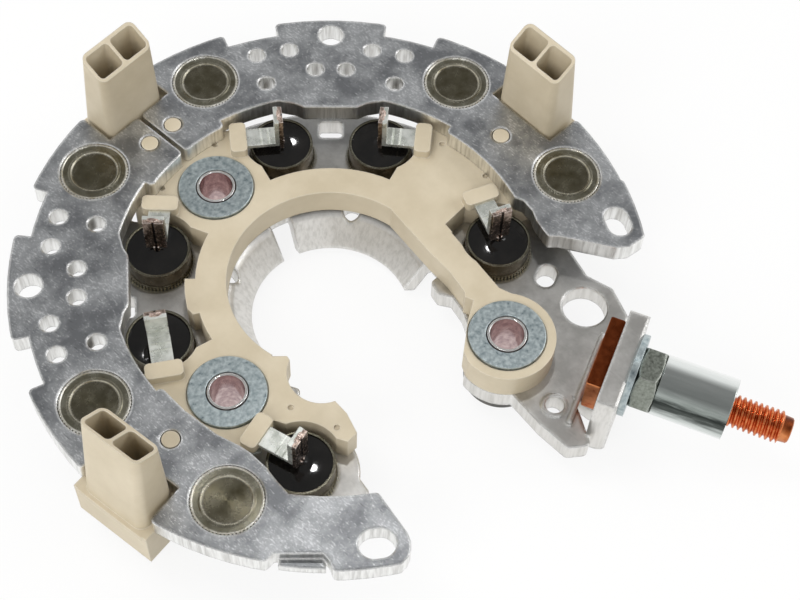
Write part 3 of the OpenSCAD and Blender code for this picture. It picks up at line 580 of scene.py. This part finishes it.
# %% Creased tin
CREASES = (1.9 * MM, 3.3 * MM)    # how far from the lead the two creases cross the strip
CREASE_WIDTH = 0.22 * MM


def creased_tin():
    """Tin plate: nearly white, soft and slightly greenish, with two fine lines across it."""
    material = plain_metal("bright_tin_plate", 2.6, "CACEC5", "F2F4EE", (0.2, 0.36), "F6F6F2", metallic=0.8,
                           radius=0.18, dent=0.015)
    tree, shader, _, dents = opened(material)
    along = distance_along(tree, "bend", "way")
    lines = []
    for place in CREASES:
        away = add(tree, "ShaderNodeMath", {0: along, 1: place}, operation="SUBTRACT").outputs[0]
        away = add(tree, "ShaderNodeMath", {0: away}, operation="ABSOLUTE").outputs[0]
        lines.append(add(tree, "ShaderNodeMapRange", {"Value": away, "From Max": CREASE_WIDTH, "To Min": 1.0,
                                                      "To Max": 0.0}).outputs["Result"])
    both = add(tree, "ShaderNodeMath", {0: lines[0], 1: lines[1]}, operation="MAXIMUM").outputs[0]
    bump = add(tree, "ShaderNodeBump", {"Height": both, "Strength": 0.9, "Distance": 0.12 * MM, "Normal": dents},
               invert=True)
    connect(tree, shader, normal=bump.outputs["Normal"])
    return material


tin = creased_tin()
print("made", tin.name)

# %% Split copper
SLIT_INSIDE, SLIT_OUTSIDE = 0.14 * MM, 0.28 * MM    # half the slit's width, and where its soft edge ends


def split_copper():
    """The browned copper of the leads, with a slit down the middle of the flat end, painted nearly black as the
    shade inside it.
    """
    material = plain_metal("oven_dark_copper_crimp", 0.8, "8A776B", "DCC6B9", (0.14, 0.32), "FBF1EA",
                           radius=0.25, dent=0.05)
    tree, shader, first, dents = opened(material)
    aside = distance_along(tree, "blade", "across")
    aside = add(tree, "ShaderNodeMath", {0: aside}, operation="ABSOLUTE").outputs[0]
    slit = add(tree, "ShaderNodeMapRange", {"Value": aside, "From Min": SLIT_INSIDE, "From Max": SLIT_OUTSIDE,
                                            "To Min": 1.0, "To Max": 0.0}).outputs["Result"]
    # the slit's near-black tone is painted shade
    colour = add(tree, "ShaderNodeMix", {"Factor": slit, "A": first, "B": linear("2E2420")}, data_type="RGBA")
    bump = add(tree, "ShaderNodeBump", {"Height": slit, "Strength": 0.9, "Distance": 0.3 * MM, "Normal": dents},
               invert=True)
    connect(tree, shader, colour.outputs["Result"], normal=bump.outputs["Normal"])
    return material


crimp_copper = split_copper()
print("made", crimp_copper.name)

# %% [markdown]
# ## Camera
#
# The photograph looks down from the lower left, from about 30 centimetres
# away, and leans a little. The lens is a short telephoto. The camera comes
# before the pieces are dressed, because the domes of the potting are worked
# out from it. It could be turned by three angles, but a matrix built from the
# way back to it shows plainly where it stands.

# %% Camera
CAMERA_AZIMUTH, CAMERA_ELEVATION, CAMERA_ROLL = map(math.radians, (-51.14, 58.92, 3.36))
CAMERA_DISTANCE = 298 * MM
CAMERA_TARGET = Vector((3.3, -13.95, 18.7)) * MM
CAMERA_LENS, SENSOR_WIDTH = 74.7, 36.0    # as written on a camera, in mm

camera_data = bpy.data.cameras.new("camera")
camera_data.lens, camera_data.sensor_width, camera_data.sensor_fit = CAMERA_LENS, SENSOR_WIDTH, "HORIZONTAL"
camera_data.clip_start, camera_data.clip_end = 0.01, 20.0
camera = bpy.data.objects.new("camera", camera_data)
scene.collection.objects.link(camera)
back = Vector((math.sin(CAMERA_AZIMUTH) * math.cos(CAMERA_ELEVATION),
               -math.cos(CAMERA_AZIMUTH) * math.cos(CAMERA_ELEVATION), math.sin(CAMERA_ELEVATION)))
right = Vector((math.cos(CAMERA_AZIMUTH), math.sin(CAMERA_AZIMUTH), 0))
turn = Matrix((right, back.cross(right), back)).transposed().to_4x4() @ Matrix.Rotation(CAMERA_ROLL, 4, "Z")
camera.matrix_world = Matrix.Translation(CAMERA_TARGET + back * CAMERA_DISTANCE) @ turn
scene.camera = camera
print("camera at", [round(v / MM, 1) for v in camera.matrix_world.translation])

# %% [markdown]
# ## Chromed sleeve
#
# The sleeve on the stud is turned and chromed. In the photograph it mirrors a
# dark corner of the room as long bands. No such room stands here, so the
# bands are laid into the chrome by their angle round the stud's axis, with
# fine streaks along it that break them up.

# %% Chrome
stud = next(mount for mount in frame["record"]["mounts"] if mount["name"] == "terminal_stud")
stud_axis, stud_middle = Vector(stud["axis"]), Vector(stud["pos_m"])
# degrees round the axis from straight up, and the tone there
BANDS = [(-135, "F4F5F4"), (-104, "E3E7E5"), (-88, "C3C9C6"), (-74, "525754"), (-62, "2F3331"), (-52, "8C938F"),
         (-30, "B9BFBC"), (0, "CDD2CF"), (30, "E4E7E5"), (60, "F8F9F8")]
STREAK, STREAK_DRAWN = 0.9 * MM, 0.12     # spacing of the streaks, and how they are drawn out
WANDER = 0.05                             # how far the streaks push the bands, as a share of a turn


def banded_chrome():
    """A mirror with dark and light bands along it, as polished chrome shows in a room."""
    material, tree, shader = start_material("polished_chrome", Metallic=1.0)
    where = add(tree, "ShaderNodeTexCoord").outputs["Object"]
    offset = add(tree, "ShaderNodeVectorMath", {0: where, 1: stud_middle}, operation="SUBTRACT").outputs["Vector"]
    heading = math.atan2(stud_axis.y, stud_axis.x)
    turned = add(tree, "ShaderNodeMapping", {"Vector": offset, "Rotation": (0, 0, -heading)}).outputs["Vector"]
    local = add(tree, "ShaderNodeSeparateXYZ", {"Vector": turned}).outputs
    angle = add(tree, "ShaderNodeMath", {0: local["Y"], 1: local["Z"]}, operation="ARCTAN2").outputs[0]
    drawn = add(tree, "ShaderNodeMapping", {"Vector": turned, "Scale": (STREAK_DRAWN, 1.0, 1.0)})
    streaks = add(tree, "ShaderNodeTexNoise", {"Vector": drawn.outputs["Vector"], "Scale": 1 / STREAK,
                                               "Detail": 4.0, "Roughness": 0.6}).outputs["Fac"]

    share = add(tree, "ShaderNodeMapRange", {"Value": angle, "From Min": -math.pi, "From Max": math.pi})
    wander = add(tree, "ShaderNodeMapRange", {"Value": streaks, "To Min": -WANDER, "To Max": WANDER})
    place = add(tree, "ShaderNodeMath", {0: share.outputs["Result"], 1: wander.outputs["Result"]}, operation="ADD")
    bands = add(tree, "ShaderNodeValToRGB", {"Fac": place.outputs[0]})
    lay_tones(bands.color_ramp, [(0.5 + degrees / 360, tone) for degrees, tone in BANDS])

    # the sleeve's flat end has no bands
    normal = add(tree, "ShaderNodeNewGeometry").outputs["Normal"]
    end = add(tree, "ShaderNodeVectorMath", {0: normal, 1: stud_axis}, operation="DOT_PRODUCT").outputs["Value"]
    end = add(tree, "ShaderNodeMath", {0: end}, operation="ABSOLUTE").outputs[0]
    colour = add(tree, "ShaderNodeMix", {"Factor": end, "A": bands.outputs["Color"], "B": linear("D9DDDB")},
                 data_type="RGBA")
    rough = add(tree, "ShaderNodeMapRange", {"Value": streaks, "To Min": 0.05, "To Max": 0.16})
    bump = add(tree, "ShaderNodeBump", {"Height": streaks, "Strength": 0.15, "Distance": 0.02 * MM,
                                        "Normal": rounded_edge(tree, 0.35 * MM)[0]})
    connect(tree, shader, colour.outputs["Result"], rough.outputs["Result"], bump.outputs["Normal"])
    return material


chrome = banded_chrome()
print("made", chrome.name)

# %% [markdown]
# ## Dressing the CAD pieces
#
# Each node gets its material by the start of its name. Cups and potting also
# get the points that their materials measure from. The dome of a pool could
# be found by trying, but it is worked out backwards: the lamp is mirrored
# where the normal is halfway between the way to the camera and the way to
# the lamp.

# %% Materials and marked points
FINISHES = {
    "negative_plate": tumbled, "positive_plate": satin, "terminal_carrier": plastic,
    "negative_cup": disc_nickel, "positive_cup": cup_nickel, "negative_fill": epoxy, "positive_fill": epoxy,
    "negative_lead": lead_copper, "positive_lead": crimp_copper, "phase_terminal": tin,
    "mount_washer": zinc, "mount_eyelet": eyelet_steel, "mount_foot": phenolic,
    "terminal_bolt": stud_copper, "terminal_washer": zinc, "terminal_nut": phosphate, "terminal_sleeve": chrome,
}
PIN_LAMP = CAMERA_TARGET + Vector((0.20, 0.16, 0.966)) * 0.5    # half a metre away, close to overhead
# where each pool mirrors the lamp, in mm from its middle
GLEAMS = {1: (2.8, 1.7), 2: (1.89, -1.02), 3: (-3.68, -0.61), 4: (1.11, -2.58), 5: (0.8, -2.16), 6: (-2.31, 0.02)}


def middle(name):
    """The middle of a node's box."""
    low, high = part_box(name)
    return (low + high) / 2


def dome_top(name):
    """The top of a dome that mirrors the pin lamp to the camera where the pool's gleam is."""
    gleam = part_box(name)[1].z * UP + middle(name) * Vector((1, 1, 0))
    gleam += Vector(GLEAMS[int(name[-1])]).to_3d() * MM
    half = (camera.matrix_world.translation - gleam).normalized() + (PIN_LAMP - gleam).normalized()
    return gleam - Vector((half.x, half.y, 0)) / half.z / DOME


for name, piece in nodes.items():
    kind = next(start for start in FINISHES if name.startswith(start))
    piece.data.materials.clear()
    piece.data.materials.append(FINISHES[kind])
    for polygon in piece.data.polygons:
        polygon.material_index = 0
    if kind.endswith(("cup", "fill")):
        piece["centre"] = piece["dome"] = list(middle(name))
    if kind == "positive_fill":
        piece["dome"] = list(dome_top(name))
print("dressed", len(nodes), "pieces")

# %% [markdown]
# ## Welds
#
# The flattened end of each positive lead is resistance welded to the upright
# tab of its phase terminal. The weld leaves a lumpy bead along their upper
# ends, which no CAD model shows. It could be sculpted by hand, but noise on
# a boxy ellipsoid gives six different beads from a few lines, and each is
# placed by the lead's own vertices, so it always sits on the joint.

# %% Where the leads end
def corners(name):
    """The vertices of a node as rows of numbers."""
    return np.array([vertex.co for vertex in nodes[name].data.vertices])


def lead_end(number):
    """Middle, direction across and direction towards the tab of a positive lead's flat end."""
    points = corners(f"positive_lead_{number}")
    top = points[points[:, 2] > points[:, 2].max() - 0.05 * MM]
    centre = top.mean(axis=0)
    _, _, axes = np.linalg.svd(top - centre)    # its first axis runs along the longer side of the end
    across = Vector(axes[0])
    tab = corners(f"phase_terminal_{number}")
    near = tab[np.abs(tab[:, 2] - centre[2]) < 3 * MM].mean(axis=0)
    towards = Vector(near - centre).to_2d().to_3d()
    towards = (towards - across * towards.dot(across)).normalized()
    return Vector(centre), across, towards


print("lead 1 ends at", [round(v / MM, 1) for v in lead_end(1)[0]])

# %% Weld beads
BEAD_HALF = Vector((0.5, 1.35, 0.65)) * MM      # half its size towards the tab, across it and upwards
BEAD_SHIFT = Vector((0.35, 0, -0.45)) * MM      # from the lead's end to the middle of the joint
BEAD_BOXY = 0.8                                 # below 1 the ellipsoid turns boxy
TAB_SHIFT = 0.5 * MM                            # from the lead's middle to the face of the tab


def weld_bead(number, centre, across, towards):
    """A lumpy bead on the joint of a lead and its terminal."""
    mesh = bmesh.new()
    bmesh.ops.create_icosphere(mesh, subdivisions=5, radius=1.0)
    joint = Matrix((towards, across, UP)).transposed()
    for vertex in mesh.verts:
        large = noise.noise(vertex.co * 2.2 + Vector((number * 7.3, 0, 0)))
        small = noise.noise(vertex.co * 6.0 + Vector((0, number * 3.1, 0)))
        lump = 1 + 0.30 * large + 0.12 * small
        place = Vector([math.copysign(abs(v) ** BEAD_BOXY, v) * h for v, h in zip(vertex.co, BEAD_HALF)]) * lump
        vertex.co = centre + joint @ (place + BEAD_SHIFT)
    data = bpy.data.meshes.new(f"weld_bead_{number}")
    mesh.to_mesh(data)
    mesh.free()
    data.materials.append(weld_copper)
    for polygon in data.polygons:
        polygon.use_smooth = True
    bead = bpy.data.objects.new(f"weld_bead_{number}", data)
    scene.collection.objects.link(bead)
    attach(bead, "root")


for number in range(1, 7):
    centre, across, towards = lead_end(number)
    weld_bead(number, centre, across, towards)
    # the slit and the creases are measured from here
    lead, strip = nodes[f"positive_lead_{number}"], nodes[f"phase_terminal_{number}"]
    lead["blade"], lead["across"] = list(centre), list(across)
    strip["bend"], strip["way"] = list(centre + towards * TAB_SHIFT), list(towards)
print("weld beads:", number)

# %% [markdown]
# ## The stud and its thread
#
# The output stud is a copper bolt with a bar for a head. In the CAD model its
# thread is a plain cylinder. A screw modifier could wind up a profile, but
# its ends would have to be closed. Here the thread is a height field on a
# cylinder: the radius at each point depends on how far the helix has turned
# there, which gives an exact M6 thread with no seam.

# %% Sizes of the stud
PITCH = 1.0 * MM          # coarse M6
DEPTH = 0.61 * MM         # from the crest of the thread to its root
MAJOR = 3.0 * MM          # radius over the crests
CORE = MAJOR - DEPTH
BLANK = 2.65 * MM         # radius before the thread is rolled
PLAIN_TIP = 1.9 * MM      # this end has no thread and gets the head's material, painted dark on its upward faces as shade
ROUND, PER_PITCH = 72, 12 # points round the stud, and rings in one pitch
CREST_FROM, CREST_RISE = 0.12, 0.70    # shares of half a pitch: the flat root, then the flank

lateral = UP.cross(stud_axis)
bolt_points = [Vector((vertex.co - stud_middle).dot(a) for a in (stud_axis, lateral, UP))
               for vertex in nodes["terminal_bolt"].data.vertices]
# only the head reaches out beyond the shank
head_points = [p for p in bolt_points if abs(p.y) > MAJOR + 1 * MM]
head_low = Vector([min(p[i] for p in head_points) for i in range(3)])
head_high = Vector([max(p[i] for p in head_points) for i in range(3)])
tip = max(p.x for p in bolt_points)
thread_start = -stud["dims"]["length_mm"] * MM / 2
plain_end = tip - PLAIN_TIP
print("thread from", round(thread_start / MM, 1), "to", round(plain_end / MM, 1), "mm, tip at", round(tip / MM, 1))

# %% Threaded shank
def thread_radius(x, angle):
    """Radius of a rolled thread with rounded crests and roots."""
    turned = (x / PITCH - angle / (2 * math.pi)) % 1.0
    flank = abs(2 * turned - 1)
    profile = min(1.0, max(0.0, (flank - CREST_FROM) / CREST_RISE))
    profile = profile * profile * (3 - 2 * profile)
    return MAJOR - DEPTH * (1 - profile)


def add_shank(mesh):
    """A plain blank inside nut and sleeve, the thread, and a plain tip with a rounded end."""
    steps = int((plain_end - thread_start) / PITCH * PER_PITCH)
    # each ring's place on the axis and its radius, or None where the thread gives it
    stations = [(head_high.x - 0.2 * MM, BLANK), (thread_start - 0.05 * MM, BLANK)]
    stations += [(thread_start + i * PITCH / PER_PITCH, None) for i in range(steps + 1)]
    stations += [(plain_end + 0.15 * MM, CORE + 0.05 * MM), (tip - 0.35 * MM, CORE - 0.05 * MM),
                 (tip - 0.08 * MM, CORE - 0.35 * MM), (tip, CORE - 0.8 * MM)]
    rings = []
    for x, radius in stations:
        ring = []
        for i in range(ROUND):
            angle = 2 * math.pi * i / ROUND
            r = thread_radius(x, angle) if radius is None else radius
            ring.append(mesh.verts.new((x, r * math.cos(angle), r * math.sin(angle))))
        rings.append(ring)
    for first, second in zip(rings, rings[1:]):
        for i in range(ROUND):
            mesh.faces.new((first[i], second[i], second[(i + 1) % ROUND], first[(i + 1) % ROUND]))
    mesh.faces.new(list(reversed(rings[0])))
    mesh.faces.new(rings[-1])
    for face in mesh.faces:
        face.material_index = int(min(vertex.co.x for vertex in face.verts) > plain_end)
        face.smooth = len(face.verts) == 4


print("a ring has", ROUND, "points, and one pitch", PER_PITCH, "rings")

# %% Head, and the stud in its place
def add_head(mesh):
    """The bar that keeps the stud from turning, with the soft edges of cold heading."""
    shank = set(mesh.faces)
    head = bmesh.ops.create_cube(mesh, size=1.0)["verts"]
    for vertex in head:
        vertex.co = (head_low + head_high) / 2 + Vector(
            [c * (b - a) for c, a, b in zip(vertex.co, head_low, head_high)])
    edges = list({edge for vertex in head for edge in vertex.link_edges})
    bmesh.ops.bevel(mesh, geom=edges, offset=0.45 * MM, segments=4, affect="EDGES", profile=0.6)
    for face in mesh.faces:
        if face not in shank:
            face.material_index = 1


stud_bmesh = bmesh.new()
add_shank(stud_bmesh)
add_head(stud_bmesh)
bmesh.ops.recalc_face_normals(stud_bmesh, faces=stud_bmesh.faces)
stud_data = bpy.data.meshes.new("threaded_stud")
stud_bmesh.to_mesh(stud_data)
stud_bmesh.free()
stud_data.materials.append(stud_copper)
stud_data.materials.append(head_copper)
stud_data.transform(Matrix.Translation(stud_middle) @ Matrix((stud_axis, lateral, UP)).transposed().to_4x4())
threaded_stud = bpy.data.objects.new("threaded_stud", stud_data)
scene.collection.objects.link(threaded_stud)
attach(threaded_stud, "root")
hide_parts("terminal_bolt")
print("stud:", len(stud_data.polygons), "faces")

# %% [markdown]
# ## Surroundings
#
# Metal shows what stands round it. In the photograph the flat tops mirror a
# dim ceiling while every upright side mirrors a bright table. A room could be
# built for that, but a world that is white at the horizon and darker overhead
# does the same, for glossy rays only. The camera always sees plain white.

# %% World
AMBIENT = 0.62                            # strength that lights the object
CEILING_FROM, CEILING_TO = 0.4, 0.82      # heights between which the mirrored world darkens
CEILING = 0.3                             # its strength overhead

scene.view_settings.view_transform = "Standard"
world = bpy.data.worlds.new("studio")
scene.world = world
world.use_nodes = True
sky = world.node_tree
rays = add(sky, "ShaderNodeLightPath").outputs
height = add(sky, "ShaderNodeSeparateXYZ", {"Vector": add(sky, "ShaderNodeTexCoord").outputs["Generated"]})
ceiling = add(sky, "ShaderNodeMapRange", {"Value": height.outputs["Z"], "From Min": CEILING_FROM,
                                          "From Max": CEILING_TO, "To Min": 1.0, "To Max": CEILING})
mirrored = add(sky, "ShaderNodeMix", {"Factor": rays["Is Glossy Ray"], "A": AMBIENT,
                                      "B": ceiling.outputs["Result"]})
seen = add(sky, "ShaderNodeMath", {0: rays["Is Camera Ray"], 1: rays["Is Transmission Ray"]}, operation="MAXIMUM")
strength = add(sky, "ShaderNodeMix", {"Factor": seen.outputs[0], "A": mirrored.outputs["Result"], "B": 1.0})
background = sky.nodes["Background"]
background.inputs["Color"].default_value = (1, 1, 1, 1)
sky.links.new(strength.outputs["Result"], background.inputs["Strength"])
print("world:", len(sky.nodes), "nodes")

# %% [markdown]
# ## Lamps
#
# Three soft boxes give an even light. One could do, but then the far side of
# each tower would be dark. The left and the top one are hidden from glossy
# rays, because the potting would mirror them as hard grey squares. A small
# round lamp lights nothing and is only mirrored: it gives the white dot on
# each pool of potting.

# %% Lamps
object_middle = (cad_box[0] + cad_box[1]) / 2


def lamp(name, place, size, power, shape="SQUARE", mirrored=True, lights=True):
    """A soft lamp at a place in metres that looks at the object's middle."""
    data = bpy.data.lights.new(name, "AREA")
    data.size, data.energy, data.shape = size, power, shape
    made = bpy.data.objects.new(name, data)
    scene.collection.objects.link(made)
    made.location = Vector(place)
    made.rotation_mode = "QUATERNION"
    made.rotation_quaternion = (object_middle - made.location).to_track_quat("-Z", "Y")
    made.visible_glossy, made.visible_diffuse = mirrored, lights


lamp("softbox_left", (-0.6, -0.1, 0.5), 0.45, 2.8, mirrored=False)
lamp("softbox_right", (0.55, -0.35, 0.5), 0.4, 1.4)
lamp("softbox_top", (-0.1, 0.35, 0.8), 0.4, 1.8, mirrored=False)
lamp("pin_lamp", PIN_LAMP, 0.03, 0.16, shape="DISK", lights=False)

# %% [markdown]
# ## Floor
#
# The object stands on white paper. Under these lamps paper is grey, and more
# light would wash out the object, so most of what the camera and the metal
# see of it is plain white. The rest is real paper and keeps a soft shadow.

# %% Floor
FLOOR_HALF = 3.0
WHITE_SHARE = 0.85        # the rest of the paper's look is its own, with the shadow


def white_paper():
    """Matt white paper that the camera sees nearly as white as the background."""
    material = bpy.data.materials.new("white_sweep")
    material.use_nodes = True
    tree = material.node_tree
    tree.nodes.clear()
    rays = add(tree, "ShaderNodeLightPath").outputs
    seen = add(tree, "ShaderNodeMath", {0: rays["Is Camera Ray"], 1: rays["Is Glossy Ray"]}, operation="MAXIMUM")
    seen = add(tree, "ShaderNodeMath", {0: seen.outputs[0], 1: rays["Is Transmission Ray"]}, operation="MAXIMUM")
    share = add(tree, "ShaderNodeMath", {0: seen.outputs[0], 1: WHITE_SHARE}, operation="MULTIPLY")
    paper = add(tree, "ShaderNodeBsdfDiffuse", {"Color": linear("EEEEEC")})
    glow = add(tree, "ShaderNodeEmission", {"Color": (1, 1, 1, 1), "Strength": 1.0})
    mixed = add(tree, "ShaderNodeMixShader", {0: share.outputs[0], 1: paper.outputs[0], 2: glow.outputs[0]})
    add(tree, "ShaderNodeOutputMaterial", {"Surface": mixed.outputs[0]})
    return material


floor_data = bpy.data.meshes.new("floor")
floor_data.from_pydata([(x * FLOOR_HALF, y * FLOOR_HALF, 0) for x, y in ((-1, -1), (1, -1), (1, 1), (-1, 1))],
                       [], [(0, 1, 2, 3)])
floor_data.materials.append(white_paper())
floor = bpy.data.objects.new("floor", floor_data)
scene.collection.objects.link(floor)
print("floor:", 2 * FLOOR_HALF, "m wide")
